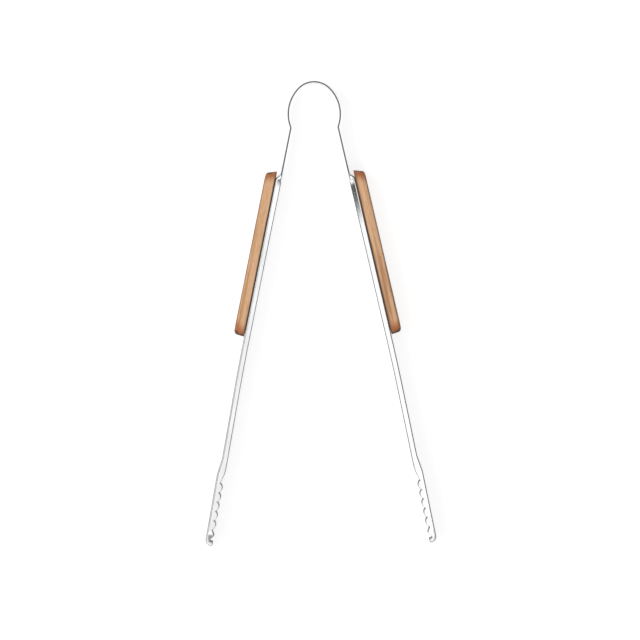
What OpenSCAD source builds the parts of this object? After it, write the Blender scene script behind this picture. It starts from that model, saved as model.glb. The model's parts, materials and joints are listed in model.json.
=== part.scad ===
// Spring loaded kitchen tongs, lying on one side.
// The spring bow points to +Y, the jaws to -Y, and the arms open along X.
// Everything rests on the plane z = 0, and the origin is under the middle of the outline.

/* [Sheet] */
// Thickness of the stainless sheet
sheet_t = 1.2; // [0.8:0.1:1.5]
// Width of the strip round the bow and down the legs
strip_w = 16; // [12:1:18]
// Width over the flanges of an arm, and of the grip that covers it
arm_w = 20; // [18:1:26]

/* [Spring bow] */
// Radius of the top of the bow, to the middle of the sheet
bow_top_r = 18.3; // [15:0.1:24]
// Radius of each side of the bow
bow_side_r = 31.3; // [26:0.1:40]
// Turn of the top radius, each way from the middle
bow_top_turn = 45; // [40:1:50]
// Turn of the side radius past the widest point
bow_past = 17; // [10:1:22]
// Straight length just above the neck
neck_run = 2.2; // [1:0.1:4]
// Gap between the bow's rounded end and the leg that flexes on it
neck_gap = 0.2; // [0.15:0.05:0.4]

/* [Arms] */
// Angle of a leg from the middle line when the tongs stand open
leg_angle = 12.2; // [9:0.1:15]
// Length of the flat leg, from the neck to the pressed trough
leg_len = 39; // [30:0.5:55]
// Length over which the leg widens to the arm
flare_len = 9; // [5:0.5:15]
// Depth of the pressed trough, over the sheet
trough_depth = 5; // [4:0.1:6]
// Slope at the trough's upper end
slope_angle = 40; // [28:1:44]
// Bend radius at each end of the slope
slope_r = 4; // [3:0.5:6]
// Length of arm that shows straight below the grip
grip_tail_gap = 3; // [1:0.5:10]
// Radius of the arm's slight bow below the grip
arm_curve_r = 2000; // [1200:50:4000]
// Turn of that slight bow
arm_curve = 1.4; // [0.5:0.1:2.5]
// Straight length from the slight bow to the jaw
lower_len = 52.4; // [40:0.1:90]

/* [Jaws] */
// How far the jaw steps outward from the arm
jog_out = 2; // [1:0.1:3]
// Slope of the step
jog_angle = 8.3; // [6:0.1:14]
// Bend radius of the step
jog_r = 12; // [8:0.5:20]
// Depth of the jaw over its tooth peaks
jaw_depth = 6.7; // [6:0.1:8]
// Height of a tooth
tooth_h = 2.5; // [1.5:0.1:3]
// Distance from tooth to tooth
tooth_pitch = 8; // [7:0.1:11]
// Number of valleys between the teeth
valley_count = 6; // [3:1:8]
// Place of the first valley along the jaw
first_valley = 6.5; // [6:0.1:9]
// Length of the edge that runs in to the first valley
entry_len = 15; // [12:0.5:18]
// Length of flange past the last valley
tail_len = 4.9; // [4:0.1:8]
// Length of the notch between the flange and the lip
notch_len = 3.7; // [3:0.1:6]
// Radius of the curled lip, to the middle of the sheet
lip_r = 4.6; // [4.2:0.1:6]
// Turn of the lip
lip_turn = 91; // [80:1:100]
// Straight end of the lip
lip_run = 1.2; // [0.5:0.1:2]
// Depth of the lip's side walls, over the sheet
lip_depth = 3.4; // [2.5:0.1:3.8]

/* [Grips] */
// Length of a wooden grip
grip_len = 143.5; // [110:0.5:172]
// Thickness of a grip
grip_t = 9; // [7:0.5:12]
// How far a grip stands above the trough's slope
grip_lead = 0.5; // [0:0.5:5]
// Corner radius of a grip, seen on its broad face
grip_corner_r = 7; // [3:0.5:8]
// Radius of a grip's outer edge at its upper end
grip_top_r = 2.5; // [2:0.5:4]
// Radius of a grip's outer edge at its lower end
grip_end_r = 4; // [2:0.5:6]
// Radius of a grip's long outer edges
grip_edge_r = 2; // [1:0.5:3]

/* [Rivets] */
// Distance from a grip's end to its outermost rivet
rivet_inset = 20; // [17:0.5:30]
// Diameter of a rivet's shank
shank_d = 4; // [3:0.1:5]
// Clearance round a shank, on the radius
shank_gap = 0.1; // [0.05:0.05:0.3]
// Diameter of a rivet's head
head_d = 8; // [6.5:0.5:10]
// Thickness of the head
head_h = 1.2; // [0.8:0.1:2]
// Clearance round a head, on the radius
head_gap = 0.2; // [0.1:0.05:0.4]
// How deep a head lies under the wood's face
head_sink = 0.3; // [0:0.1:1]
// Diameter of the closed end inside the trough
tail_d = 7; // [5.5:0.5:8]
// Height of the closed end
tail_h = 1; // [0.6:0.1:1.5]

/* [Hidden] */
$fn = 72;

// Rivets in each grip, one node for each
rivet_count = 3;
// Largest turn of one step along a drawn bend
bend_step = 6;
// Overlap that carries a cutter past the face it cuts
past = 1;

side_gap = (arm_w - strip_w) / 2;
half_t = sheet_t / 2;
rim = trough_depth - half_t;
peak = jaw_depth - half_t;
valley = peak - tooth_h;
arm_rim_at_jaw = rim + jog_out;
lip_rim = lip_depth - half_t;

// A place on the sheet's middle line is [x, y, heading]. A stretch is [length, 0] for a
// straight run, or [radius, turn] for a bend, where a positive turn goes to the left.
function step(s, seg) =
  seg[1] == 0
    ? [s[0] + seg[0] * cos(s[2]), s[1] + seg[0] * sin(s[2]), s[2]]
    : let (r = seg[0] * sign(seg[1]), a = s[2] + seg[1])
      [s[0] + r * (sin(a) - sin(s[2])), s[1] - r * (cos(a) - cos(s[2])), a];

function walk(s, segs, i = 0) = i == len(segs) ? s : walk(step(s, segs[i]), segs, i + 1);

function inside_bend(s, seg) =
  let (n = max(2, ceil(abs(seg[1]) / bend_step)))
  [for (k = [1:n - 1]) step(s, [seg[0], seg[1] * k / n])];

function trail(s, segs, i = 0) =
  i == len(segs)
    ? [s]
    : concat(
        [s],
        segs[i][1] == 0 ? [] : inside_bend(s, segs[i]),
        trail(step(s, segs[i]), segs, i + 1)
      );

// The point d to the left of a place, and the same for a whole trail
function beside(s, d) = [s[0] - d * sin(s[2]), s[1] + d * cos(s[2])];
function offset_line(places, d) = [for (s = places) beside(s, d)];
function backwards(list) = [for (i = [len(list) - 1:-1:0]) list[i]];
function ahead(s, d) = [s[0] + d * cos(s[2]), s[1] + d * sin(s[2]), s[2]];

// A point u along and v to the left of a place, in that place's own directions
function local(s, u, v) = beside(ahead(s, u), v);

// Half of the bow, from the middle of its top to the right-hand neck
apex = [0, 0, 0];
half_bow = [
  [bow_top_r, -bow_top_turn],
  [bow_side_r, bow_top_turn - 90 - bow_past],
  [neck_run, 0]
];
neck = walk(apex, half_bow);

// The right arm's web, stretch by stretch
slope_side = slope_r * (1 - cos(slope_angle));
slope_run = (rim - half_t - 2 * slope_side) / sin(slope_angle);
slope_len = slope_run * cos(slope_angle) + 2 * slope_r * sin(slope_angle);
upper_len = grip_len - grip_lead - slope_len + grip_tail_gap;
jog_run = (jog_out - 2 * jog_r * (1 - cos(jog_angle))) / sin(jog_angle);
last_valley = first_valley + (valley_count - 1) * tooth_pitch;
flange_end = last_valley + tail_len;
jaw_len = flange_end + notch_len;

slope = [[slope_r, slope_angle], [slope_run, 0], [slope_r, -slope_angle]];
body = [[upper_len, 0], [arm_curve_r, -arm_curve], [lower_len, 0]];
jog = [[jog_r, jog_angle], [jog_run, 0], [jog_r, -jog_angle]];
lip = [[lip_r, -lip_turn], [lip_run, 0]];

leg_top = [neck[0], neck[1], leg_angle - 90];
leg_end = ahead(leg_top, leg_len);
arm_top = walk(leg_end, slope);
curve_top = ahead(arm_top, upper_len);
arm_end = walk(arm_top, body);
jaw_top = walk(arm_end, jog);
lip_top = ahead(jaw_top, jaw_len);
lip_end = walk(lip_top, lip);

// The inner edges of the flanges
curve_rim = offset_line(trail(curve_top, [[arm_curve_r, -arm_curve]]), -rim);

entry_start = first_valley - entry_len;
entry_drop = arm_rim_at_jaw - valley;
entry_r = (entry_len * entry_len + entry_drop * entry_drop) / (2 * entry_drop);
entry_turn = asin(entry_len / entry_r);
entry_points = [
  for (k = [0:4])
    let (a = entry_turn * k / 4)
    local(jaw_top, entry_start + entry_r * sin(a), -arm_rim_at_jaw + entry_r * (1 - cos(a)))
];

tooth_r = (tooth_pitch * tooth_pitch / 4 + tooth_h * tooth_h) / (2 * tooth_h);
tooth_turn = asin(tooth_pitch / 2 / tooth_r);
tooth_points = [
  for (i = [0:valley_count - 2])
    for (k = [1:10])
      let (
        a = tooth_turn * (k / 5 - 1),
        u = first_valley + (i + 0.5) * tooth_pitch + tooth_r * sin(a),
        v = tooth_r * (1 - cos(a)) - peak
      )
      local(jaw_top, u, v)
];

rim_line = concat(
  [beside(leg_end, -half_t)],
  curve_rim,
  entry_points,
  tooth_points,
  [local(jaw_top, flange_end, -peak)]
);

// The arm seen across its width: the outer line down to the lip, then back along the rims
lip_trail = trail(lip_top, lip);
arm_outline = concat(
  offset_line(trail(leg_top, concat([[leg_len, 0]], slope, body, jog, [[jaw_len, 0]], lip)), half_t),
  backwards(offset_line(lip_trail, -lip_rim)),
  backwards(rim_line),
  [beside(leg_top, -half_t)]
);

// The hollow of the trough, open on the inner side and round the lip
web_trail = trail(leg_end, concat(slope, body, jog, [[jaw_len, 0]], lip));
pocket_outline = concat(
  offset_line(web_trail, -half_t),
  [local(lip_end, past, -half_t), local(lip_end, past, -lip_rim)],
  backwards(offset_line(lip_trail, -lip_rim)),
  [local(jaw_top, flange_end, -jaw_depth - past)],
  [local(jaw_top, entry_start, -arm_rim_at_jaw - past)],
  backwards(offset_line(trail(curve_top, [[arm_curve_r, -arm_curve]]), -trough_depth - past)),
  [beside(leg_end, -sheet_t - past)]
);

// The origin lies under the middle of the whole outline
low = min([for (p = arm_outline) p[1]]);
apex_y = -(low + half_t) / 2;

grip_start = -(slope_len + grip_lead);
rivet_pitch = (grip_len - 2 * rivet_inset) / (rivet_count - 1);

module at_place(s) {
  translate([s[0], s[1], 0]) rotate([0, 0, s[2]]) children();
}

module set_down() {
  translate([0, apex_y, 0]) children();
}

// Children stand on the outer face of the right web, at rivet number i, with +Z outward
module at_rivet(i) {
  at_place(arm_top)
    translate([grip_start + rivet_inset + i * rivet_pitch, half_t, arm_w / 2])
      rotate([-90, 0, 0]) children();
}

// One continuous strip bent to a loop, with its ends rounded where the legs flex on it
module spring_bow() {
  half = trail(apex, half_bow);
  right_side = concat(
    offset_line(half, half_t),
    backwards(offset_line(half, -half_t))
  );
  color("silver") set_down() translate([0, 0, side_gap]) union() {
    linear_extrude(strip_w) polygon(right_side);
    mirror([1, 0, 0]) linear_extrude(strip_w) polygon(right_side);
    for (side = [-1, 1])
      translate([side * neck[0], neck[1], 0]) cylinder(r = half_t, h = strip_w);
  }
}

// Waste beside one edge of the leg, out to the flare
module leg_waste() {
  reach = flare_len / side_gap * past;
  at_place(leg_top) translate([0, trough_depth, 0]) rotate([90, 0, 0])
    linear_extrude(2 * trough_depth) polygon([
      [-past, -past],
      [leg_len + reach, -past],
      [leg_len - flare_len, side_gap],
      [-past, side_gap]
    ]);
}

// Leg, trough, toothed jaw and curled lip, all one pressing
module arm() {
  difference() {
    linear_extrude(arm_w) polygon(arm_outline);
    translate([0, 0, sheet_t]) linear_extrude(arm_w - 2 * sheet_t) polygon(pocket_outline);
    leg_waste();
    translate([0, 0, arm_w]) mirror([0, 0, 1]) leg_waste();
    translate([neck[0], neck[1], -past]) cylinder(r = half_t + neck_gap, h = arm_w + 2 * past);
    for (i = [0:rivet_count - 1])
      at_rivet(i) translate([0, 0, -sheet_t - past])
        cylinder(d = shank_d + 2 * shank_gap, h = sheet_t + 2 * past);
  }
}

// The grip's side, with its ends sloped back and their outer edges rounded
top_slant = grip_t / 3;
end_slant = grip_t / 12;
quarter = [for (k = [0:5]) 90 * k / 5];
grip_side = concat(
  [[0, 0], [grip_len, 0]],
  [for (a = quarter)
    [grip_len - end_slant - grip_end_r * (1 - cos(a)), grip_t - grip_end_r * (1 - sin(a))]],
  [for (a = backwards(quarter))
    [top_slant + grip_top_r * (1 - cos(a)), grip_t - grip_top_r * (1 - sin(a))]]
);

module rounded_face(length, width, r) {
  translate([r, 0]) square([length - 2 * r, width]);
  translate([0, r]) square([length, width - 2 * r]);
  for (x = [r, length - r], y = [r, width - r])
    translate([x, y]) circle(r = r);
}

module grip_section() {
  square([grip_t - grip_edge_r, arm_w]);
  translate([0, grip_edge_r]) square([grip_t, arm_w - 2 * grip_edge_r]);
  for (z = [grip_edge_r, arm_w - grip_edge_r])
    translate([grip_t - grip_edge_r, z]) circle(r = grip_edge_r);
}

// A wooden slab on the outside of the web, bored and counterbored for its rivets
module grip() {
  difference() {
    at_place(arm_top) translate([grip_start, half_t, 0]) intersection() {
      linear_extrude(arm_w) polygon(grip_side);
      translate([0, grip_t + past, 0]) rotate([90, 0, 0])
        linear_extrude(grip_t + 2 * past) rounded_face(grip_len, arm_w, grip_corner_r);
      translate([-past, 0, 0]) rotate([90, 0, 90])
        linear_extrude(grip_len + 2 * past) grip_section();
    }
    for (i = [0:rivet_count - 1]) at_rivet(i) {
      translate([0, 0, -past]) cylinder(d = shank_d + 2 * shank_gap, h = grip_t + 2 * past);
      translate([0, 0, grip_t - head_sink - head_h])
        cylinder(d = head_d + 2 * head_gap, h = head_h + head_sink + past);
    }
  }
}

// Head in the wood, shank through wood and web, closed end inside the trough
module rivet(i) {
  at_rivet(i) union() {
    translate([0, 0, -sheet_t - tail_h]) cylinder(d = tail_d, h = tail_h);
    translate([0, 0, -sheet_t - tail_h]) cylinder(d = shank_d, h = sheet_t + tail_h + grip_t - head_sink);
    translate([0, 0, grip_t - head_sink - head_h]) cylinder(d = head_d, h = head_h);
  }
}

module on_left() {
  set_down() mirror([1, 0, 0]) children();
}

module left_arm() { color("gainsboro") on_left() arm(); }
module right_arm() { color("gainsboro") set_down() arm(); }
module left_grip() { color("burlywood") on_left() grip(); }
module right_grip() { color("burlywood") set_down() grip(); }
module left_rivet(i) { color("dimgray") on_left() rivet(i); }
module right_rivet(i) { color("dimgray") set_down() rivet(i); }

spring_bow();
left_arm();
left_grip();
left_rivet(0);  // left_rivet_1
left_rivet(1);  // left_rivet_2
left_rivet(2);  // left_rivet_3
right_arm();
right_grip();
right_rivet(0);  // right_rivet_1
right_rivet(1);  // right_rivet_2
right_rivet(2);  // right_rivet_3
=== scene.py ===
# %% [markdown]
# # Spring loaded kitchen tongs
# A pair of long barbecue tongs lies open on its side. The steel is one strip, bent to a round bow at
# the top, pressed to a trough down each arm, cut to teeth at the jaws and curled at the tips. A wooden
# grip is riveted to the outside of each arm. The moving frame comes from the CAD model, and this
# script gives every piece its finished shape and surface. All sizes are in metres.

# %% Load the frame
import json
import math

import bmesh
import bpy
from mathutils import Euler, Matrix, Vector


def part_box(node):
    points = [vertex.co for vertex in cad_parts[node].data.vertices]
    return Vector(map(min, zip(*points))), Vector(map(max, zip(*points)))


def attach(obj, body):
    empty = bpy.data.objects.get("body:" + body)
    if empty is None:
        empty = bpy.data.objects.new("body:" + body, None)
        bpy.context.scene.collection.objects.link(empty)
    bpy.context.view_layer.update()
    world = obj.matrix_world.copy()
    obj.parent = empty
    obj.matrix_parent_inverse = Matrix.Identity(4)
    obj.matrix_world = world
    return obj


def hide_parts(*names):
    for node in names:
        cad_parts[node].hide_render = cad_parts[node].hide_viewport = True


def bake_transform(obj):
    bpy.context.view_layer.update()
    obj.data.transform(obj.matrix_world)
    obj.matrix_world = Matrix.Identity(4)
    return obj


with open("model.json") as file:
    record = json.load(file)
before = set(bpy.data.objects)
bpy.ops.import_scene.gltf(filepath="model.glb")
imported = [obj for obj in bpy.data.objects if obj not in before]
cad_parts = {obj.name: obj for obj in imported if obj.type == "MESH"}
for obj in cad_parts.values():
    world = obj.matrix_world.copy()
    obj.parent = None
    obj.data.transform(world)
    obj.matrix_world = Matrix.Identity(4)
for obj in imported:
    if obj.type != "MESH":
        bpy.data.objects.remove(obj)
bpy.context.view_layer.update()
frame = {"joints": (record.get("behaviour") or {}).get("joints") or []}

# %% [markdown]
# ## Sizes
# The strip is followed along the middle of its sheet. A stretch is written (length, 0) for a straight
# run and (radius, turn in degrees) for a bend, and a positive turn goes to the left of the way that
# the strip runs. The right half is followed from the top of the bow down to the tip, so its left side
# faces outward. The left half is the same, mirrored.

# %% Sizes of the sheet
MM = 0.001
SHEET = 1.2 * MM
STRIP_WIDTH = 16 * MM
ARM_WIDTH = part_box("right_arm")[1].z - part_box("right_arm")[0].z
MIDDLE_Z = ARM_WIDTH / 2
FOLD_RADIUS = 1.0 * MM
WEB_HALF = ARM_WIDTH / 2 - SHEET / 2 - FOLD_RADIUS
print("arm width, mm:", round(ARM_WIDTH / MM, 2), " flat of the web, mm:", round(2 * WEB_HALF / MM, 2))

# %% Sizes along the strip
NECK_TURN = 29.2
NECK_RADIUS = 1.6 * MM
NECK_CUT = NECK_RADIUS * math.tan(math.radians(NECK_TURN / 2))
TROUGH = 5 * MM
RIM = TROUGH - SHEET / 2
SLOPE_ANGLE = 40
SLOPE_RADIUS = 4 * MM
tilt = math.radians(SLOPE_ANGLE)
SLOPE_RUN = (RIM - SHEET / 2 - 2 * SLOPE_RADIUS * (1 - math.cos(tilt))) / math.sin(tilt)
SLOPE_LENGTH = SLOPE_RUN * math.cos(tilt) + 2 * SLOPE_RADIUS * math.sin(tilt)
GRIP_LENGTH = 143.5 * MM
GRIP_LEAD = 0.5 * MM
GRIP_TAIL = 3 * MM

BOW = [(18.3 * MM, -45), (31.3 * MM, -62), (2.2 * MM - NECK_CUT, 0), (NECK_RADIUS, NECK_TURN / 2)]
LEG = [(NECK_RADIUS, NECK_TURN / 2), (39 * MM - NECK_CUT, 0)]
SLOPE = [(SLOPE_RADIUS, SLOPE_ANGLE), (SLOPE_RUN, 0), (SLOPE_RADIUS, -SLOPE_ANGLE)]
UPPER_ARM = [(GRIP_LENGTH - GRIP_LEAD - SLOPE_LENGTH + GRIP_TAIL, 0)]
LOWER_ARM = [(2000 * MM, -1.4), (52.4 * MM, 0)]
STEP_OUT = [(12 * MM, 8.3), (12.113 * MM, 0), (12 * MM, -8.3)]
JAW = [(55.1 * MM, 0)]
LIP = [(4.6 * MM, -91), (1.2 * MM, 0)]
ARM = LEG + SLOPE + UPPER_ARM + LOWER_ARM + STEP_OUT + JAW + LIP

# %% [markdown]
# ## Following the strip
# `walk` takes a place (x, y, heading) past one stretch, and `distance` adds up a list of stretches.
# `travel` finds where the strip is at a distance from its start, which the teeth and the trough need.


# %% Following the strip
def walk(place, stretch, share=1.0):
    x, y, heading = place
    size, turn = stretch
    if turn == 0:
        return (
            x + share * size * math.cos(heading),
            y + share * size * math.sin(heading),
            heading,
        )
    bend = math.radians(turn) * share
    radius = math.copysign(size, turn)
    return (
        x + radius * (math.sin(heading + bend) - math.sin(heading)),
        y - radius * (math.cos(heading + bend) - math.cos(heading)),
        heading + bend,
    )


def length_of(stretch):
    size, turn = stretch
    return size if turn == 0 else size * math.radians(abs(turn))


def distance(stretches):
    return sum(length_of(s) for s in stretches)


def travel(place, stretches, far=None):
    for stretch in stretches:
        long = length_of(stretch)
        if far is not None and far < long:
            return walk(place, stretch, far / long)
        place = walk(place, stretch)
        far = None if far is None else far - long
    return place


APEX = (0.0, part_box("spring_bow")[1].y - SHEET / 2, 0.0)
NECK = travel(APEX, BOW)
LEG_END = travel(NECK, LEG)
ARM_TOP = travel(NECK, LEG + SLOPE)
JAW_TOP = travel(NECK, LEG + SLOPE + UPPER_ARM + LOWER_ARM + STEP_OUT)
hinge = Vector(frame["joints"][1]["pos_m"])
print("neck, mm:", [round(v / MM, 2) for v in NECK[:2]], " hinge, mm:", [round(v / MM, 2) for v in hinge])


# %% [markdown]
# ## Working on a mesh
# Each step is done in edit mode, as it would be by hand: choose points by where they were on the flat
# blank, then turn or move them. The blank's own coordinates are kept on the points in an attribute
# called strip, because the points move as the sheet is bent. With no window the rotate tool turns the
# other way, so `turn` gives it the opposite angle and a centre of its own.


# %% Editing helpers
TINY = 1e-7
SLACK = 1e-6


def start_editing(piece):
    bpy.ops.object.select_all(action="DESELECT")
    piece.select_set(True)
    bpy.context.view_layer.objects.active = piece
    bpy.ops.object.mode_set(mode="EDIT")
    bpy.ops.mesh.select_mode(type="VERT")


def stop_editing():
    bpy.ops.object.mode_set(mode="OBJECT")


def choose(piece, test):
    mesh = bmesh.from_edit_mesh(piece.data)
    strip = mesh.verts.layers.float_vector.get("strip")
    for edge in mesh.edges:
        edge.select = False
    for face in mesh.faces:
        face.select = False
    for vert in mesh.verts:
        vert.select = test(vert[strip] if strip else vert.co)
    mesh.select_flush(True)
    bmesh.update_edit_mesh(piece.data)


def turn(degrees, axis, centre):
    bpy.ops.transform.rotate(
        value=-math.radians(degrees),
        orient_axis=axis,
        orient_type="GLOBAL",
        center_override=centre,
    )


def finish_with(piece, kind, **settings):
    modifier = piece.modifiers.new(kind.title(), kind)
    for name, value in settings.items():
        setattr(modifier, name, value)
    bpy.ops.object.select_all(action="DESELECT")
    piece.select_set(True)
    bpy.context.view_layer.objects.active = piece
    bpy.ops.object.modifier_apply(modifier=modifier.name)


def put_down(piece, place, across):
    """Stands the sheet on edge, turns it to the place's heading and moves it there."""
    start_editing(piece)
    bpy.ops.mesh.select_all(action="SELECT")
    if across:
        turn(90, "X", (0, 0, 0))
    turn(math.degrees(place[2]), "Z", (0, 0, 0))
    bpy.ops.transform.translate(value=(place[0], place[1], MIDDLE_Z))
    stop_editing()


# %% [markdown]
# ## The flat blank
# A press shop starts from a flat blank. Here it is a plane of the strip's full length, scored with the
# bisect tool along every line where it will bend, and its outer columns are then pulled in or out to
# the outline that the die would cut.

# %% Laying out the rows
BEND_STEP = 6.0
STRAIGHT_STEP = 6 * MM
ROW_GAP = 0.25 * MM
FEWEST_STEPS = 4


def lay_out(stretches, outline_rows=()):
    """Bend lines come first, then rows for the outline, then rows that keep the faces short."""
    bends, fill = [], []
    at = 0.0
    for stretch in stretches:
        long = length_of(stretch)
        steps = max(1, math.ceil(long / STRAIGHT_STEP))
        if stretch[1] != 0:
            steps = max(FEWEST_STEPS, math.ceil(abs(stretch[1]) / BEND_STEP))
            bends += [(at + long * (k + 0.5) / steps, stretch[1] / steps) for k in range(steps)]
        fill += [at + long * k / steps for k in range(1, steps + 1)]
        at += long
    rows = [0.0, at] + [middle for middle, _ in bends]
    for row in [*outline_rows, *fill]:
        if min(abs(row - other) for other in rows) > ROW_GAP:
            rows.append(row)
    return sorted(rows)[1:-1], bends, at


def cut_blank(name, long, rows, columns):
    bpy.ops.object.select_all(action="DESELECT")
    bpy.ops.mesh.primitive_plane_add(size=1, location=(long / 2, 0, 0))
    piece = bpy.context.object
    piece.name = name
    piece.data.name = name
    bpy.ops.transform.resize(value=(long, 2 * columns[-1], 1))
    bpy.ops.object.transform_apply(location=True, rotation=True, scale=True)
    start_editing(piece)
    for x in rows:
        bpy.ops.mesh.select_all(action="SELECT")
        bpy.ops.mesh.bisect(plane_co=(x, 0, 0), plane_no=(1, 0, 0), threshold=TINY)
    for y in [0.0] + [side * column for column in columns[:-1] for side in (-1, 1)]:
        bpy.ops.mesh.select_all(action="SELECT")
        bpy.ops.mesh.bisect(plane_co=(0, y, 0), plane_no=(0, 1, 0), threshold=TINY)
    stop_editing()
    print(name, "blank, mm:", round(long / MM, 1), "with", len(piece.data.vertices), "points")
    return piece


def keep_blank_places(piece):
    layer = piece.data.attributes.new("strip", "FLOAT_VECTOR", "POINT")
    for vert, value in zip(piece.data.vertices, layer.data):
        value.vector = vert.co


# %% [markdown]
# ## Bending and finishing the sheet
# The sheet is bent from its far end backwards, so every bend line is still flat and in its first place
# when its turn comes. Solidify then gives the real thickness of 1.2 mm, half to each side, with its own
# material on the cut edges, and only those edges are bevelled, as tumbling softens them. The two ends
# that meet at the neck and at the top of the bow stay sharp, so the strip reads as one piece.


# %% Bending and finishing
EDGE_ROUND = 0.28 * MM
EDGE_SEGMENTS = 3
SMOOTH_BELOW = math.radians(13.5)
SMOOTH_SOLID = math.radians(35)
NO_FREE_END = math.inf


def bend_along(piece, bends):
    start_editing(piece)
    for at, degrees in reversed(bends):
        choose(piece, lambda place: place.x > at + TINY)
        turn(degrees, "Y", (at, 0, 0))
    stop_editing()


def mark_cut_edges(piece, free_end):
    mesh = bmesh.new()
    mesh.from_mesh(piece.data)
    strip = mesh.verts.layers.float_vector["strip"]
    weight = mesh.edges.layers.float.new("bevel_weight_edge")
    marked = 0
    for edge in mesh.edges:
        materials = {face.material_index for face in edge.link_faces}
        a, b = (vert[strip].x for vert in edge.verts)
        along = abs(a - b) > SLACK
        if len(materials) == 2 and (along or min(a, b) > free_end - SLACK):
            edge[weight] = 1.0
            marked += 1
    mesh.to_mesh(piece.data)
    mesh.free()
    return marked


def give_thickness(piece, free_end):
    piece.data.materials.append(STEEL)
    piece.data.materials.append(CUT_EDGE)
    finish_with(piece, "SOLIDIFY", thickness=SHEET, offset=0.0, material_offset_rim=1)
    marked = mark_cut_edges(piece, free_end)
    rounding = {"width": EDGE_ROUND, "segments": EDGE_SEGMENTS, "use_clamp_overlap": False}
    finish_with(piece, "BEVEL", limit_method="WEIGHT", material=1, **rounding)
    start_editing(piece)
    bpy.ops.mesh.select_all(action="SELECT")
    bpy.ops.mesh.normals_make_consistent(inside=False)
    stop_editing()
    bpy.ops.object.shade_smooth_by_angle(angle=SMOOTH_BELOW)
    print(piece.name, "has", marked, "softened edges and", len(piece.data.polygons), "faces")


def mirrored(piece, name, replaced):
    bpy.ops.object.select_all(action="DESELECT")
    piece.select_set(True)
    bpy.context.view_layer.objects.active = piece
    bpy.ops.object.duplicate(linked=False)
    copy = bpy.context.object
    copy.name = name
    copy.data.name = name
    bpy.ops.transform.resize(value=(-1, 1, 1), center_override=(0, 0, 0))
    bpy.ops.object.transform_apply(location=True, rotation=True, scale=True)
    start_editing(copy)
    bpy.ops.mesh.select_all(action="SELECT")
    bpy.ops.mesh.normals_make_consistent(inside=False)
    stop_editing()
    if replaced:
        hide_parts(replaced)
    return copy


# %% [markdown]
# ## Node helpers
# Materials are built from a few nodes each. These helpers add a node, wire it and set a value, so that
# each finish below reads as a short recipe.


# %% Node helpers
def new_material(name):
    material = bpy.data.materials.new(name)
    material.use_nodes = True
    return material, material.node_tree, material.node_tree.nodes["Principled BSDF"]


def add(tree, kind, **settings):
    node = tree.nodes.new(kind)
    for name, value in settings.items():
        setattr(node, name, value)
    return node


def stretched_noise(tree, source, scale, detail, roughness=0.5):
    """Noise drawn out by scale, a size in cycles per metre along each axis."""
    mapping = add(tree, "ShaderNodeMapping")
    mapping.inputs["Scale"].default_value = scale
    noise = add(tree, "ShaderNodeTexNoise")
    noise.inputs["Scale"].default_value = 1.0
    noise.inputs["Detail"].default_value = detail
    noise.inputs["Roughness"].default_value = roughness
    tree.links.new(source, mapping.inputs["Vector"])
    tree.links.new(mapping.outputs["Vector"], noise.inputs["Vector"])
    return noise.outputs["Fac"]


def remap(tree, value, low, high, to_low, to_high):
    node = add(tree, "ShaderNodeMapRange", interpolation_type="SMOOTHSTEP")
    for name, number in zip(("From Min", "From Max", "To Min", "To Max"), (low, high, to_low, to_high)):
        node.inputs[name].default_value = number
    tree.links.new(value, node.inputs["Value"])
    return node.outputs["Result"]


def blend_colour(tree, factor, first, second):
    node = add(tree, "ShaderNodeMix", data_type="RGBA")
    tree.links.new(factor, node.inputs["Factor"])
    for socket, colour in ((node.inputs["A"], first), (node.inputs["B"], second)):
        if isinstance(colour, tuple):
            socket.default_value = (*colour, 1.0)
        else:
            tree.links.new(colour, socket)
    return node.outputs["Result"]


def roughen(tree, shader, height, depth, strength):
    bump = add(tree, "ShaderNodeBump")
    bump.inputs["Distance"].default_value = depth
    bump.inputs["Strength"].default_value = strength
    tree.links.new(height, bump.inputs["Height"])
    tree.links.new(bump.outputs["Normal"], shader.inputs["Normal"])


# %% [markdown]
# ## Satin steel
# The sheet is polished stainless steel with a faint lengthwise grain left by rolling. The grain follows
# the strip round every bend, so it reads the strip attribute, which still holds the flat blank's
# coordinates. Long soft patches vary the roughness, as handling and washing do.

# %% Satin steel
ROLLED, HANDLED = (60, 5200, 5200), (30, 90, 90)
STEEL_DARK, STEEL_LIGHT = (0.72, 0.72, 0.73), (0.84, 0.84, 0.85)
GRAIN_SHARE = 0.35
STEEL, tree, shader = new_material("satin_steel")
strip = add(tree, "ShaderNodeAttribute", attribute_name="strip").outputs["Vector"]
grain = stretched_noise(tree, strip, ROLLED, 4.0, 0.6)
patches = stretched_noise(tree, strip, HANDLED, 3.0)
tone = blend_colour(tree, remap(tree, grain, 0.3, 0.7, 0, 1), STEEL_DARK, STEEL_LIGHT)
tree.links.new(tone, shader.inputs["Base Color"])
mixed = add(tree, "ShaderNodeMath", operation="MULTIPLY_ADD")
tree.links.new(grain, mixed.inputs[0])
mixed.inputs[1].default_value = GRAIN_SHARE
tree.links.new(patches, mixed.inputs[2])
tree.links.new(remap(tree, mixed.outputs[0], 0.4, 0.95, 0.13, 0.24), shader.inputs["Roughness"])
shader.inputs["Metallic"].default_value = 1.0
roughen(tree, shader, grain, 0.01 * MM, 0.3)
print("made", STEEL.name)
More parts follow.
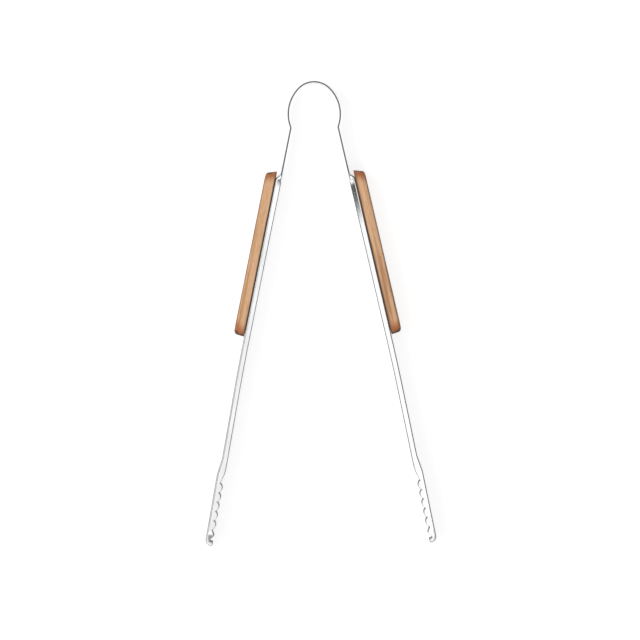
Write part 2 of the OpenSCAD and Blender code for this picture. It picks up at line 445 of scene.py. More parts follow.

# %% [markdown]
# ## Cut edges
# Shearing leaves a duller face than rolling does, half smooth and half torn, and tumbling rounds it a
# little. A coarse grain runs across the sheet. The edge is coloured far darker than the steel, as
# painted shade, so that each cut edge reads as a grey line.

# %% Cut edges
TORN = (2600, 900, 900)
# painted shade: these greys colour the cut edges far darker than the steel they are cut from
SHADED_EDGE_DARK, SHADED_EDGE_LIGHT = (0.12, 0.12, 0.125), (0.23, 0.23, 0.235)
CUT_EDGE, tree, shader = new_material("cut_edge_steel")
strip = add(tree, "ShaderNodeAttribute", attribute_name="strip").outputs["Vector"]
tear = stretched_noise(tree, strip, TORN, 4.0, 0.65)
tone = blend_colour(tree, remap(tree, tear, 0.3, 0.7, 0, 1), SHADED_EDGE_DARK, SHADED_EDGE_LIGHT)
tree.links.new(tone, shader.inputs["Base Color"])
tree.links.new(remap(tree, tear, 0.3, 0.7, 0.36, 0.52), shader.inputs["Roughness"])
shader.inputs["Metallic"].default_value = 1.0
roughen(tree, shader, tear, 0.03 * MM, 0.4)
print("made", CUT_EDGE.name)

# %% [markdown]
# ## The spring bow
# The bow is the spring: its two halves flex as the arms close. Each half is a plain strip, 16 mm wide,
# bent round two radii and crimped at the neck. It is split at the top, and the left half is a mirrored
# copy of the right.

# %% Spring bow
rows, bends, long = lay_out(BOW)
BOW_COLUMNS = 6
edge_columns = [k * STRIP_WIDTH / (2 * BOW_COLUMNS) for k in range(1, BOW_COLUMNS + 1)]
right_bow = cut_blank("bow_right_half", long, rows, edge_columns)
keep_blank_places(right_bow)
bend_along(right_bow, bends)
put_down(right_bow, APEX, across=True)
give_thickness(right_bow, free_end=NO_FREE_END)
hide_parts("spring_bow")

left_bow = mirrored(right_bow, "bow_left_half", "spring_bow")

# %% [markdown]
# ## The outline of the arms
# The leg is flat and flares to the arm's width. From there its edges are folded inward, so the blank
# widens by the depth of the trough. At the jaws the edge is cut to rounded teeth with sharp valleys, it
# is notched where the lip begins, and it stays shallow round the lip. `depth_at` gives the depth of
# the side walls, from the middle of the web's sheet, at a distance along the arm.

# %% Depth of the side walls
JAW_OUT = 2.0 * MM
TOOTH_PEAK = 6.7 * MM - SHEET / 2
TOOTH_HEIGHT = 2.5 * MM
TOOTH_PITCH = 8 * MM
FIRST_VALLEY = 6.5 * MM
VALLEYS = 6
LAST_VALLEY = FIRST_VALLEY + (VALLEYS - 1) * TOOTH_PITCH
ENTRY_LENGTH = 15 * MM
FLANGE_END = LAST_VALLEY + 4.9 * MM
LIP_RIM = 3.4 * MM - SHEET / 2
TOOTH_RADIUS = (TOOTH_PITCH**2 / 4 + TOOTH_HEIGHT**2) / (2 * TOOTH_HEIGHT)
ENTRY_DROP = RIM + JAW_OUT - (TOOTH_PEAK - TOOTH_HEIGHT)
ENTRY_RADIUS = (ENTRY_LENGTH**2 + ENTRY_DROP**2) / (2 * ENTRY_DROP)
FLARE = 9 * MM
TROUGH_START = distance(LEG)
TROUGH_FULL = TROUGH_START + distance(SLOPE)
ARM_LONG = distance(ARM)
LIP_START = ARM_LONG - distance(LIP)
JAW_START = LIP_START - distance(JAW)
STEP_START = JAW_START - distance(STEP_OUT)


def aside(place, base):
    """How far a place lies to the left of the line through a base place."""
    dx, dy = place[0] - base[0], place[1] - base[1]
    return dy * math.cos(base[2]) - dx * math.sin(base[2])


def arch(x, radius):
    return radius - math.sqrt(max(radius * radius - x * x, 0))


def eased(value, low, high):
    share = min(1.0, max(0.0, (value - low) / (high - low)))
    return share * share * (3 - 2 * share)


def depth_at(far):
    u = far - JAW_START
    if far < STEP_START:
        return RIM
    if u < FIRST_VALLEY:
        shift = aside(travel(NECK, ARM, far), JAW_TOP)
        return RIM + JAW_OUT + shift - arch(max(0.0, u - FIRST_VALLEY + ENTRY_LENGTH), ENTRY_RADIUS)
    if u < LAST_VALLEY:
        from_peak = (u - FIRST_VALLEY) % TOOTH_PITCH - TOOTH_PITCH / 2
        return TOOTH_PEAK - arch(from_peak, TOOTH_RADIUS)
    if u < FLANGE_END:
        share = (u - LAST_VALLEY) / (FLANGE_END - LAST_VALLEY)
        return TOOTH_PEAK - TOOTH_HEIGHT * (1 - share)
    share = min(1.0, (u - FLANGE_END) / (LIP_START - JAW_START - FLANGE_END))
    return TOOTH_PEAK + (LIP_RIM - TOOTH_PEAK) * share


for name, u in (("entry", 0.0), ("valley", FIRST_VALLEY), ("peak", FIRST_VALLEY + TOOTH_PITCH / 2)):
    print(name, "wall depth, mm:", round(depth_at(JAW_START + u) / MM, 2))

# %% [markdown]
# ## The fold of the side walls
# Pressing a flat strip into a trough opens its walls gradually. `side_wall` gives, at a distance along
# the arm, how wide the sheet is past the web's flat and the angle that it is folded to. The angle grows
# from nothing at the leg, by a rule that keeps the pressing exactly as wide as the arm.
#
# `lean_of_wall` then closes the walls past square in three places. Drawing leans them in at the top of
# the trough, and they ease back to square over the top third of the grip. They are pinched further over
# the pressed slope and a few millimetres past it. At the tip they are tucked in from just past the last
# valley on, and most of all at the notch before the lip. These leans are a choice of shape, and the CAD
# model's walls are square.

# %% Fold of the side walls
SQUARE = math.pi / 2
FOLD_EASE = (FOLD_RADIUS - SHEET / 2) / ((FOLD_RADIUS + SHEET / 2) * SQUARE)
DRAWN_IN = math.radians(7)
DRAWN_LENGTH = 48 * MM
PINCHED_IN = math.radians(13)
PINCH_START, PINCH_END = TROUGH_FULL - 2 * MM, TROUGH_FULL + 4 * MM
TUCKED_IN = math.radians(15)
TUCK_START = JAW_START + FLANGE_END - 3 * MM
TUCK_LENGTH = 4 * MM
NOTCHED_IN = math.radians(6)
NOTCH_EASED = LIP_START - 1.5 * MM
LEAN_START = TROUGH_START + 2 * MM
PINCHED_BY = TROUGH_START + 5 * MM
DRAWN_BY = TROUGH_START + 6 * MM
OPENING_POWER = 6


def lean_of_wall(far):
    """How far past square a side wall leans inward."""
    drawn = eased(far, LEAN_START, DRAWN_BY)
    drawn *= DRAWN_IN * (1 - eased(far, TROUGH_FULL, TROUGH_FULL + DRAWN_LENGTH))
    pinched = eased(far, LEAN_START, PINCHED_BY)
    pinched *= PINCHED_IN * (1 - eased(far, PINCH_START, PINCH_END))
    tucked = TUCKED_IN + NOTCHED_IN * (1 - eased(far, NOTCH_EASED, LIP_START))
    return drawn + pinched + tucked * eased(far, TUCK_START, TUCK_START + TUCK_LENGTH)


def side_wall(far):
    if far <= TROUGH_START:
        flared = max(0.0, 1 - (TROUGH_START - far) / FLARE)
        return STRIP_WIDTH / 2 + (ARM_WIDTH - STRIP_WIDTH) / 2 * flared - WEB_HALF, 0.0
    angle = SQUARE + lean_of_wall(far)
    if far >= TROUGH_FULL:
        return FOLD_RADIUS * angle + depth_at(far) - FOLD_RADIUS, angle
    shift = max(aside(travel(NECK, ARM, far), LEG_END), SLACK)
    share = min(1.0, shift / (FOLD_RADIUS - SHEET / 2))
    if share == 1.0:
        return FOLD_RADIUS * angle + shift + SHEET / 2 - FOLD_RADIUS, angle
    angle = SQUARE * (FOLD_EASE * share + (1 - FOLD_EASE) * share**OPENING_POWER)
    rise = shift - (FOLD_RADIUS - SHEET / 2) * (1 - math.cos(angle))
    return FOLD_RADIUS * angle + rise / math.sin(angle), angle


for name, far in (("leg", 0.02), ("flare", TROUGH_START), ("top", TROUGH_FULL), ("arm", 0.2)):
    wall, angle = side_wall(far)
    print(name, "wall, mm:", round(wall / MM, 2), " fold:", round(math.degrees(angle), 1), "degrees")

# %% [markdown]
# ## Pressing an arm
# The blank is scored close together where its outline curves, and its points are drawn to the outline.
# The fold opens gradually, which no single turn of a selection can give, so each row's points are set
# on that row's own arc. The whole trough is then bent along its length with the rotate tool, from the
# lip back to the neck.

# %% Cutting the arm's blank
TOOTH_ROWS, ENTRY_ROWS, TUCK_ROWS = 14, 16, 6
OPENING_ROWS, OPENING_GAP = 8, 0.3 * MM
SLOPE_ROWS, FIRST_SLOPE_ROW = 12, 3
HOLD = 0.15 * MM
WEB_SHARE, FOLD_SHARE = 0.8, 0.5
WEB_COLUMNS, FOLD_COLUMNS = 3, 9
COLUMNS = WEB_COLUMNS + FOLD_COLUMNS + 2
valley_rows = [JAW_START + FIRST_VALLEY + k * TOOTH_PITCH for k in range(VALLEYS)]
tooth_rows = [row + k * TOOTH_PITCH / TOOTH_ROWS for row in valley_rows[:-1] for k in range(1, TOOTH_ROWS)]
entry_rows = [valley_rows[0] - ENTRY_LENGTH * k / ENTRY_ROWS for k in range(1, ENTRY_ROWS + 1)]
flare_rows = [TROUGH_START - FLARE, TROUGH_START]
slope_rows = [TROUGH_START + OPENING_GAP * k for k in range(1, OPENING_ROWS + 1)]
for k in range(FIRST_SLOPE_ROW, SLOPE_ROWS + 1):
    slope_rows.append(TROUGH_START + (TROUGH_FULL - TROUGH_START) * k / SLOPE_ROWS)
notch_rows = [JAW_START + FLANGE_END, LIP_START]
notch_rows += [TUCK_START + TUCK_LENGTH * k / TUCK_ROWS for k in range(TUCK_ROWS + 1)]
outline_rows = valley_rows + notch_rows + flare_rows + tooth_rows + entry_rows + slope_rows
rows, bends, long = lay_out(ARM, outline_rows)
right_arm = cut_blank("right_arm_steel", long, rows, [ARM_WIDTH * (k + 1) / COLUMNS for k in range(COLUMNS)])


# %% Trimming the blank to its outline
def column_place(k, half, angle):
    """Where column k lies across a sheet: web, fold, and a close line at each end of the fold."""
    web = min(WEB_HALF, WEB_SHARE * half)
    fold = min(FOLD_RADIUS * max(angle, SQUARE), FOLD_SHARE * (half - web))
    if k < WEB_COLUMNS:
        return (web - HOLD) * k / (WEB_COLUMNS - 1)
    if k <= WEB_COLUMNS + FOLD_COLUMNS:
        return web + fold * (k - WEB_COLUMNS) / FOLD_COLUMNS
    return half if k == COLUMNS else web + fold + HOLD


for vert in right_arm.data.vertices:
    k = round(abs(vert.co.y) / ARM_WIDTH * COLUMNS)
    wall, angle = side_wall(vert.co.x)
    vert.co.y = math.copysign(column_place(k, WEB_HALF + wall, angle), vert.co.y)
keep_blank_places(right_arm)
print("blank is", round(2000 * max(v.co.y for v in right_arm.data.vertices), 1), "mm wide at the jaw")

# %% Folding the walls and bending the arm
for vert in right_arm.data.vertices:
    wall, angle = side_wall(vert.co.x)
    past_web = abs(vert.co.y) - WEB_HALF
    if past_web > 0 and angle > 0:
        turned = min(angle, past_web / FOLD_RADIUS)
        straight = past_web - FOLD_RADIUS * turned
        widest = ARM_WIDTH / 2 - WEB_HALF - SHEET / 2 * math.sin(turned)
        out = min(widest, FOLD_RADIUS * math.sin(turned) + straight * math.cos(turned))
        vert.co.y = math.copysign(WEB_HALF + out, vert.co.y)
        vert.co.z = FOLD_RADIUS * (1 - math.cos(turned)) + straight * math.sin(turned)
bend_along(right_arm, bends)
put_down(right_arm, NECK, across=True)
give_thickness(right_arm, free_end=ARM_LONG)
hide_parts("right_arm")
left_arm = mirrored(right_arm, "left_arm_steel", "left_arm")

# %% [markdown]
# ## Wooden grips
# Each grip is a slab of straight-grained hardwood, sawn and then rounded over on its corners and outer
# edges. It is made as a maker would: a block is cut to size, its four corners are rounded on the broad
# face, the outer face is drawn in at both ends, and then the outer edge is rounded over all round.

# %% Sizes of a grip
GRIP_THICK = 9 * MM
GRIP_CORNER = 7 * MM
TOP_SLANT = GRIP_THICK / 3
END_SLANT = GRIP_THICK / 12
TOP_ROUND = 2.5 * MM
SIDE_ROUND = 2 * MM
END_ROUND = 4 * MM
BACK_ROUND = 0.4 * MM
RIM_ROUND = 0.15 * MM
RIM_ABOVE = math.radians(60)
CORNER_SEGMENTS, ROUND_SEGMENTS, RIM_SEGMENTS = 10, 7, 2
GRIP_START = -(SLOPE_LENGTH + GRIP_LEAD)
RIVET_INSET = 20 * MM
RIVET_PITCH = (GRIP_LENGTH - 2 * RIVET_INSET) / 2
HEAD_RADIUS = 4 * MM
HEAD_THICK = 1.2 * MM
HEAD_SINK = 0.3 * MM
HEAD_GAP = 0.2 * MM
RIVETS = 3
BORE_SIDES, RIVET_SIDES = 64, 48
print("grip starts", round(GRIP_START / MM, 2), "mm from the top of the web")


# %% Sawing the slab
def near(value, target, slack=0.01 * MM):
    return abs(value - target) < slack


def choose_edges(piece, test):
    bpy.ops.mesh.select_mode(type="EDGE")
    mesh = bmesh.from_edit_mesh(piece.data)
    for part in (*mesh.verts, *mesh.edges, *mesh.faces):
        part.select = False
    chosen = [edge for edge in mesh.edges if test(edge.verts[0].co, edge.verts[1].co)]
    for edge in chosen:
        edge.select_set(True)
    bmesh.update_edit_mesh(piece.data)
    return len(chosen)


bpy.ops.object.select_all(action="DESELECT")
bpy.ops.mesh.primitive_cube_add(size=1, location=(GRIP_LENGTH / 2, GRIP_THICK / 2, 0))
right_grip = bpy.context.object
right_grip.name = right_grip.data.name = "right_grip_wood"
bpy.ops.transform.resize(value=(GRIP_LENGTH, GRIP_THICK, ARM_WIDTH))
bpy.ops.object.transform_apply(location=True, rotation=True, scale=True)
start_editing(right_grip)
corners = choose_edges(right_grip, lambda a, b: near(a.x, b.x) and near(a.z, b.z))
bpy.ops.mesh.bevel(offset=GRIP_CORNER, segments=CORNER_SEGMENTS, affect="EDGES")
bpy.ops.mesh.select_mode(type="VERT")
choose(right_grip, lambda place: near(place.y, GRIP_THICK) and place.x < GRIP_LENGTH / 2)
bpy.ops.transform.translate(value=(TOP_SLANT, 0, 0))
choose(right_grip, lambda place: near(place.y, GRIP_THICK) and place.x > GRIP_LENGTH / 2)
bpy.ops.transform.translate(value=(-END_SLANT, 0, 0))
stop_editing()
print("rounded", corners, "corners and sloped both ends")


# %% Rounding the slab over
def round_at(a, b):
    """The radius that an edge of the slab is rounded to."""
    middle = (a + b) / 2
    if near(a.y, 0) and near(b.y, 0):
        return BACK_ROUND
    if not (near(a.y, GRIP_THICK) and near(b.y, GRIP_THICK)):
        return 0.0
    from_top = eased(middle.x, TOP_SLANT + GRIP_CORNER, TOP_SLANT)
    from_end = eased(middle.x, GRIP_LENGTH - END_SLANT - GRIP_CORNER, GRIP_LENGTH - END_SLANT)
    return SIDE_ROUND + (TOP_ROUND - SIDE_ROUND) * from_top + (END_ROUND - SIDE_ROUND) * from_end


mesh = bmesh.new()
mesh.from_mesh(right_grip.data)
weight = mesh.edges.layers.float.new("bevel_weight_edge")
for edge in mesh.edges:
    edge[weight] = round_at(edge.verts[0].co, edge.verts[1].co) / END_ROUND
mesh.to_mesh(right_grip.data)
mesh.free()
finish_with(right_grip, "BEVEL", width=END_ROUND, segments=ROUND_SEGMENTS, limit_method="WEIGHT")
print("slab has", len(right_grip.data.polygons), "faces")

# %% [markdown]
# ## Counterbores
# The rivet heads lie just under the face of the wood, each in a shallow round recess. A drill is a
# cylinder, and a boolean cuts its shape away, as the real bit does.


# %% Counterbores
def drill(piece, x):
    bpy.ops.object.select_all(action="DESELECT")
    depth = HEAD_THICK + HEAD_SINK
    bpy.ops.mesh.primitive_cylinder_add(
        vertices=BORE_SIDES,
        radius=HEAD_RADIUS + HEAD_GAP,
        depth=2 * depth,
        location=(x, GRIP_THICK, 0),
        rotation=(math.pi / 2, 0, 0),
    )
    bit = bpy.context.object
    bpy.ops.object.transform_apply(location=True, rotation=True, scale=True)
    finish_with(piece, "BOOLEAN", object=bit, operation="DIFFERENCE", solver="EXACT")
    bpy.data.objects.remove(bit)


for k in range(RIVETS):
    drill(right_grip, RIVET_INSET + k * RIVET_PITCH)
rim_softening = {"width": RIM_ROUND, "segments": RIM_SEGMENTS, "limit_method": "ANGLE"}
finish_with(right_grip, "BEVEL", angle_limit=RIM_ABOVE, **rim_softening)
put_down(right_grip, ARM_TOP, across=False)

# %% Setting the grip against the web
along = Vector((math.cos(ARM_TOP[2]), math.sin(ARM_TOP[2]), 0))
outward = Vector((-along.y, along.x, 0))
start_editing(right_grip)
bpy.ops.mesh.select_all(action="SELECT")
bpy.ops.transform.translate(value=along * GRIP_START + outward * SHEET / 2)
stop_editing()
bpy.ops.object.shade_smooth_by_angle(angle=SMOOTH_SOLID)
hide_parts("right_grip")
left_grip = mirrored(right_grip, "left_grip_wood", "left_grip")

# %% [markdown]
# ## Oiled wood
# The wood is light tan with straight orange-brown streaks, short dark pores and fine fibres, all drawn
# out along the grip. Object coordinates are centred on the grip and turned to its length, so the grain
# runs true in both grips. The ends are cut across the fibres and drink more oil, so they are redder. The
# very end is nearly black: the end grain soaks up oil, and the near black is painted shade where the
# rounded end turns away from the light. Both zones follow the slant of the ends. The long edges are
# painted darker, as painted shade on their rounding.

# %% Wood colours
LIGHT_WOOD = (0.88, 0.54, 0.315)
STREAK_WOOD = (0.5, 0.245, 0.112)
GOLD_WOOD = (0.74, 0.41, 0.2)
FIBRE_WOOD = (0.36, 0.2, 0.11)
PORE_WOOD = (0.17, 0.08, 0.04)
RED_WOOD = (0.45, 0.14, 0.045)
# end grain that soaks up oil, darkened to near black as painted shade on the rounded end
END_GRAIN_AND_SHADE_WOOD = (0.06, 0.024, 0.014)
# painted shade: the colour laid along the four long edges of each grip
SHADED_EDGE_WOOD = (0.17, 0.1, 0.06)
STREAKS, BANDS, FIBRES, PORES = (16, 330, 330), (7, 110, 110), (90, 3000, 3000), (240, 3600, 3600)
END_RAGGED, SIDE_RAGGED = 7 * MM, 0.5 * MM
RED_START, RED_FULL = GRIP_LENGTH / 2 - 10 * MM, GRIP_LENGTH / 2 - 1 * MM
END_GRAIN_AND_SHADE_START, END_GRAIN_AND_SHADE_FULL = GRIP_LENGTH / 2, GRIP_LENGTH / 2 + 1.6 * MM
# where the painted edge shade begins and is full, through the grip and across it
FACE_START, FACE_FULL = GRIP_THICK / 2 - 0.9 * MM, GRIP_THICK / 2
SIDE_START, SIDE_FULL = ARM_WIDTH / 2 - 2.4 * MM, ARM_WIDTH / 2 - 1 * MM
print("red starts", round((GRIP_LENGTH / 2 - RED_START) / MM, 1), "mm from each end of a grip")


# %% Oiled wood
def distance_from_middle(tree, part, ragged_by, amount):
    """How far a place is from the middle along one axis, made ragged by a streak."""
    reach = add(tree, "ShaderNodeMath", operation="ABSOLUTE")
    tree.links.new(part, reach.inputs[0])
    ragged = add(tree, "ShaderNodeMath", operation="MULTIPLY_ADD")
    tree.links.new(ragged_by, ragged.inputs[0])
    ragged.inputs[1].default_value = amount
    tree.links.new(reach.outputs[0], ragged.inputs[2])
    return ragged.outputs[0]


def oiled_wood(name, heading, centre, seed, outward_y):
    """Wood for one grip; outward_y is 1 or -1, the way its outer face looks in its own coordinates."""
    material, tree, shader = new_material(name)
    place = add(tree, "ShaderNodeMapping")
    place.inputs["Rotation"].default_value = (0, 0, -heading)
    turned = Vector(centre)
    turned.rotate(Euler((0, 0, -heading)))
    place.inputs["Location"].default_value = -turned
    tree.links.new(add(tree, "ShaderNodeTexCoord").outputs["Object"], place.inputs["Vector"])
    here = place.outputs["Vector"]
    shifted = add(tree, "ShaderNodeVectorMath", operation="ADD")
    shifted.inputs[1].default_value = (seed, seed * 2, seed * 3)
    tree.links.new(here, shifted.inputs[0])
    streaks = stretched_noise(tree, shifted.outputs[0], STREAKS, 5.0, 0.55)
    bands = stretched_noise(tree, shifted.outputs[0], BANDS, 2.0)
    fibres = stretched_noise(tree, shifted.outputs[0], FIBRES, 3.0, 0.6)
    pores = stretched_noise(tree, shifted.outputs[0], PORES, 1.0)
    colour = blend_colour(tree, remap(tree, streaks, 0.4, 0.64, 0, 1), LIGHT_WOOD, STREAK_WOOD)
    colour = blend_colour(tree, remap(tree, bands, 0.38, 0.66, 0, 0.7), colour, GOLD_WOOD)
    colour = blend_colour(tree, remap(tree, fibres, 0.42, 0.7, 0, 0.4), colour, FIBRE_WOOD)
    colour = blend_colour(tree, remap(tree, pores, 0.64, 0.74, 0, 0.75), colour, PORE_WOOD)

    axes = add(tree, "ShaderNodeSeparateXYZ")
    tree.links.new(here, axes.inputs["Vector"])
    along_grip = distance_from_middle(tree, axes.outputs["X"], streaks, END_RAGGED)
    to_end = add(tree, "ShaderNodeMath", operation="MULTIPLY_ADD")
    tree.links.new(axes.outputs["Y"], to_end.inputs[0])
    to_end.inputs[1].default_value = outward_y * TOP_SLANT / GRIP_THICK
    tree.links.new(along_grip, to_end.inputs[2])
    reach = to_end.outputs[0]
    red = remap(tree, reach, RED_START, RED_FULL, 0, 0.9)
    colour = blend_colour(tree, red, colour, RED_WOOD)
    # the very end goes nearly black: darker end grain, plus painted shade where the rounded end turns away
    end_grain_and_shade = remap(tree, reach, END_GRAIN_AND_SHADE_START, END_GRAIN_AND_SHADE_FULL, 0, 0.85)
    colour = blend_colour(tree, end_grain_and_shade, colour, END_GRAIN_AND_SHADE_WOOD)
    # painted shade: the four long edges are darkened where the faces meet
    through = distance_from_middle(tree, axes.outputs["Y"], fibres, SIDE_RAGGED)
    across = distance_from_middle(tree, axes.outputs["Z"], fibres, SIDE_RAGGED)
    painted_edge_shade = add(tree, "ShaderNodeMath", operation="MULTIPLY")
    near_face = remap(tree, through, FACE_START, FACE_FULL, 0, 1)
    near_side = remap(tree, across, SIDE_START, SIDE_FULL, 0, 1)
    tree.links.new(near_face, painted_edge_shade.inputs[0])
    tree.links.new(near_side, painted_edge_shade.inputs[1])
    colour = blend_colour(tree, painted_edge_shade.outputs[0], colour, SHADED_EDGE_WOOD)

    tree.links.new(colour, shader.inputs["Base Color"])
    tree.links.new(remap(tree, fibres, 0.3, 0.7, 0.42, 0.6), shader.inputs["Roughness"])
    shader.inputs["Specular IOR Level"].default_value = 0.4
    roughen(tree, shader, fibres, 0.06 * MM, 0.5)
    print("made", name)
    return material


start = Vector((ARM_TOP[0], ARM_TOP[1], MIDDLE_Z))
right_middle = start + along * (GRIP_START + GRIP_LENGTH / 2) + outward * (GRIP_THICK / 2 + SHEET / 2)
left_middle = Vector((-right_middle.x, right_middle.y, right_middle.z))
right_wood = oiled_wood("oiled_wood_right", ARM_TOP[2], right_middle, seed=0.7, outward_y=1)
left_wood = oiled_wood("oiled_wood_left", -math.pi - ARM_TOP[2], left_middle, seed=1.9, outward_y=-1)
right_grip.data.materials.append(right_wood)
left_grip.data.materials.append(left_wood)

# %% [markdown]
# ## Rivets
# A rivet is turned and then closed: a shank with a low head let into the wood, and a domed end formed
# over inside the trough. One is drawn up from a cylinder by extruding and scaling its end faces. Three
# copies are set in the right grip, and each is mirrored to the left one.

# %% Rivet steel
TURNED = (1400, 1400, 1400)
RIVET_DARK, RIVET_LIGHT = (0.6, 0.6, 0.61), (0.76, 0.76, 0.77)
RIVET_STEEL, tree, shader = new_material("rivet_steel")
around = add(tree, "ShaderNodeTexCoord").outputs["Object"]
marks = stretched_noise(tree, around, TURNED, 4.0, 0.6)
tone = blend_colour(tree, remap(tree, marks, 0.3, 0.7, 0, 1), RIVET_DARK, RIVET_LIGHT)
tree.links.new(tone, shader.inputs["Base Color"])
tree.links.new(remap(tree, marks, 0.3, 0.7, 0.26, 0.42), shader.inputs["Roughness"])
shader.inputs["Metallic"].default_value = 1.0
roughen(tree, shader, marks, 0.02 * MM, 0.4)
print("made", RIVET_STEEL.name)

# %% Drawing up a rivet
SHANK_RADIUS = 2 * MM
SHANK_LOW = -SHEET
SHANK_HIGH = GRIP_THICK - HEAD_SINK - HEAD_THICK
HEAD_STEPS = [(0.04 * MM, 1.96), (0.1 * MM, 1.02), (0.76 * MM, 1.0), (0.12 * MM, 0.985)]
HEAD_STEPS += [(0.08 * MM, 0.95), (0.06 * MM, 0.8), (0.03 * MM, 0.6), (0.01 * MM, 0.4)]
TAIL_STEPS = [(-0.04 * MM, 1.68), (-0.12 * MM, 1.04), (-0.34 * MM, 0.97)]
TAIL_STEPS += [(-0.24 * MM, 0.86), (-0.16 * MM, 0.72), (-0.08 * MM, 0.5)]


def pull_end(piece, height, steps):
    """Extrudes the end face at a height through (rise, radius ratio) steps."""
    for rise, ratio in steps:
        choose(piece, lambda place: near(place.z, height[0]))
        bpy.ops.mesh.select_mode(type="FACE")
        bpy.ops.mesh.extrude_region_move(TRANSFORM_OT_translate={"value": (0, 0, rise)})
        height[0] += rise
        bpy.ops.transform.resize(value=(ratio, ratio, 1), center_override=(0, 0, height[0]))
        bpy.ops.mesh.select_mode(type="VERT")


bpy.ops.object.select_all(action="DESELECT")
bpy.ops.mesh.primitive_cylinder_add(
    vertices=RIVET_SIDES,
    radius=SHANK_RADIUS,
    depth=SHANK_HIGH - SHANK_LOW,
    location=(0, 0, (SHANK_HIGH + SHANK_LOW) / 2),
)
rivet = bpy.context.object
bpy.ops.object.transform_apply(location=True, rotation=True, scale=True)
start_editing(rivet)
top = [SHANK_HIGH]
pull_end(rivet, top, HEAD_STEPS)
low = [SHANK_LOW]
pull_end(rivet, low, TAIL_STEPS)
bpy.ops.mesh.select_all(action="SELECT")
bpy.ops.mesh.normals_make_consistent(inside=False)
stop_editing()
bpy.ops.object.shade_smooth_by_angle(angle=SMOOTH_SOLID)
rivet.data.materials.append(RIVET_STEEL)
print("rivet is", round((top[0] - low[0]) / MM, 2), "mm long")

# %% Setting the rivets
right_rivets, left_rivets = [], []
for k in range(RIVETS):
    bpy.ops.object.select_all(action="DESELECT")
    rivet.select_set(True)
    bpy.context.view_layer.objects.active = rivet
    bpy.ops.object.duplicate(linked=False)
    piece = bpy.context.object
    piece.name = piece.data.name = f"right_rivet_steel_{k + 1}"
    start_editing(piece)
    bpy.ops.mesh.select_all(action="SELECT")
    turn(-90, "X", (0, 0, 0))
    turn(math.degrees(ARM_TOP[2]), "Z", (0, 0, 0))
    spot = start + along * (GRIP_START + RIVET_INSET + k * RIVET_PITCH) + outward * SHEET / 2
    bpy.ops.transform.translate(value=spot)
    stop_editing()
    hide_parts(f"right_rivet_{k + 1}")
    right_rivets.append(piece)
    left_rivets.append(mirrored(piece, f"left_rivet_steel_{k + 1}", f"left_rivet_{k + 1}"))
bpy.data.objects.remove(rivet)
print("set", len(right_rivets) + len(left_rivets), "rivets")

# %% [markdown]
# ## What moves with what
# Each arm carries its grip and rivets. The two halves of the bow are attached to no body, and their
# places are baked into their points.

# %% Riding on the frame
for piece in (right_arm, right_grip, *right_rivets):
    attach(piece, "right_side")
for piece in (left_arm, left_grip, *left_rivets):
    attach(piece, "left_side")
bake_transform(right_bow)
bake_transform(left_bow)
print("pieces on the arms:", 2 * (2 + len(right_rivets)), " halves of the bow: 2")

# %% [markdown]
# ## Floor and light
# The tongs lie on a plain white table that glows a little from below, as a light table does, so that no
# shadow dulls it. The light tent is bright overhead and darker at its sides, which draws each fold and
# cut edge of the steel as a grey line. Its bright crown leans a little to one side, so the two arms
# don't reflect it alike. A dark patch in the crown, where a real tent has its viewing slit, gives the
# polished steel something to reflect where it leans that way. One square lamp adds soft light from the
# left, and it is hidden from reflections, because it would wipe out the fold line of the left arm.

# %% Floor
FLOOR_SIZE = 60
FLOOR_GLOW = 0.8
SPECKLE = (9, 9, 9)
FLOOR_DARK, FLOOR_LIGHT = (0.34, 0.34, 0.34), (0.38, 0.38, 0.38)
bpy.ops.object.select_all(action="DESELECT")
bpy.ops.mesh.primitive_plane_add(size=FLOOR_SIZE, location=(0, 0, 0))
floor = bpy.context.object
floor.name = floor.data.name = "floor"
floor_paint, tree, shader = new_material("white_table")
speckle = stretched_noise(tree, add(tree, "ShaderNodeTexCoord").outputs["Object"], SPECKLE, 2.0)
tone = blend_colour(tree, speckle, FLOOR_DARK, FLOOR_LIGHT)
tree.links.new(tone, shader.inputs["Base Color"])
shader.inputs["Roughness"].default_value = 0.9
shader.inputs["Specular IOR Level"].default_value = 0.1
shader.inputs["Emission Color"].default_value = (1, 1, 1, 1)
shader.inputs["Emission Strength"].default_value = FLOOR_GLOW
floor.data.materials.append(floor_paint)
print("floor is", FLOOR_SIZE, "m wide")

# %% Light tent
TENT_TOP = 1.4
TENT_LEFT = 0.22
TENT_RIGHT = 0.08
CROWN = Vector((-0.2, -0.2, 1.0)).normalized()
CROWN_EDGE, CROWN_FULL = 0.6, 0.9
SLIT = Vector((-0.26, 0.0, 1.0)).normalized()
SLIT_EDGE, SLIT_FULL = math.cos(0.21), math.cos(0.16)
SLIT_LEVEL = 0.01
LEFT_END, RIGHT_END = -0.6, 0.5


def toward(tree, direction, aim):
    """The cosine of the angle between a direction and an aim."""
    node = add(tree, "ShaderNodeVectorMath", operation="DOT_PRODUCT")
    tree.links.new(direction, node.inputs[0])
    node.inputs[1].default_value = aim
    return node.outputs["Value"]


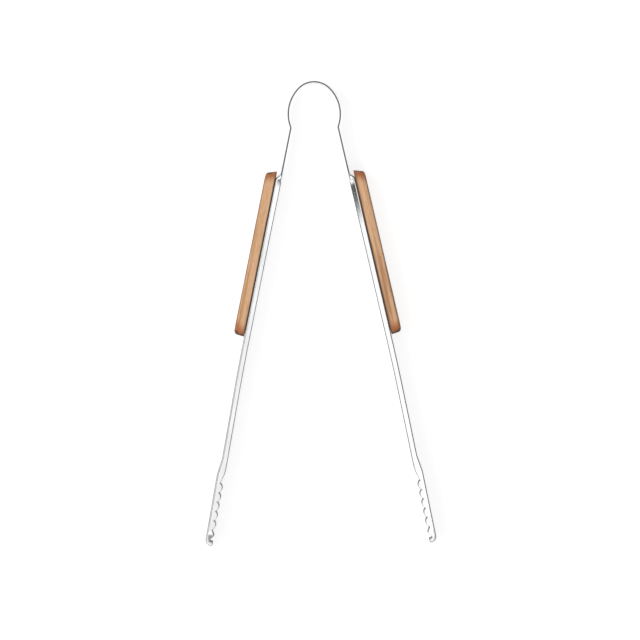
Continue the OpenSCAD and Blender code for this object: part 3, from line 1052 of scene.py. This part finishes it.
world = bpy.data.worlds.new("light_tent")
bpy.context.scene.world = world
world.use_nodes = True
tree = world.node_tree
direction = add(tree, "ShaderNodeTexCoord").outputs["Generated"]
axes = add(tree, "ShaderNodeSeparateXYZ")
tree.links.new(direction, axes.inputs["Vector"])
side = remap(tree, axes.outputs["X"], LEFT_END, RIGHT_END, TENT_LEFT, TENT_RIGHT)
up = remap(tree, toward(tree, direction, CROWN), CROWN_EDGE, CROWN_FULL, 0, 1)
level = blend_colour(tree, up, side, (TENT_TOP, TENT_TOP, TENT_TOP))
slit = remap(tree, toward(tree, direction, SLIT), SLIT_EDGE, SLIT_FULL, 0, 1)
level = blend_colour(tree, slit, level, (SLIT_LEVEL, SLIT_LEVEL, SLIT_LEVEL))
sky = tree.nodes["Background"]
tree.links.new(level, sky.inputs["Color"])
sky.inputs["Strength"].default_value = 1.0

print("tent from", TENT_RIGHT, "at its darker side to", TENT_TOP, "overhead")

# %% Side lamp
LAMP_SIZE = 0.9
LAMP_WATTS = 13
LAMP_PLACE = (-1.3, 0.5, 1.2)
lamp = bpy.data.lights.new("side_box", "AREA")
lamp.shape = "SQUARE"
lamp.size = LAMP_SIZE
lamp.energy = LAMP_WATTS
side_box = bpy.data.objects.new("side_box", lamp)
side_box.location = LAMP_PLACE
side_box.rotation_euler = Vector(side_box.location).to_track_quat("Z", "Y").to_euler()
side_box.visible_camera = False
side_box.visible_glossy = False
bpy.context.scene.collection.objects.link(side_box)
bpy.context.scene.view_settings.view_transform = "Standard"
print("side lamp:", LAMP_WATTS, "W")

# %% [markdown]
# ## Camera
# The camera looks straight down from far away with a long lens, so both arms are seen flat on. The
# tongs lie turned by just under one degree in its view.

# %% Camera
CAMERA_HEIGHT = 3.0
VIEW_WIDTH = 0.5434
ROLL = 0.9
SENSOR = 36
AIM = (2.1 * MM, -6.2 * MM)
eye = bpy.data.cameras.new("camera")
eye.sensor_width = SENSOR
eye.lens = eye.sensor_width * (CAMERA_HEIGHT - ARM_WIDTH) / VIEW_WIDTH
camera = bpy.data.objects.new("camera", eye)
camera.location = (*AIM, CAMERA_HEIGHT)
camera.rotation_euler = (0, 0, -math.radians(ROLL))
bpy.context.scene.collection.objects.link(camera)
bpy.context.scene.camera = camera
print("lens, mm:", round(eye.lens, 1))

# %% Sizes and finish
bpy.context.view_layer.update()
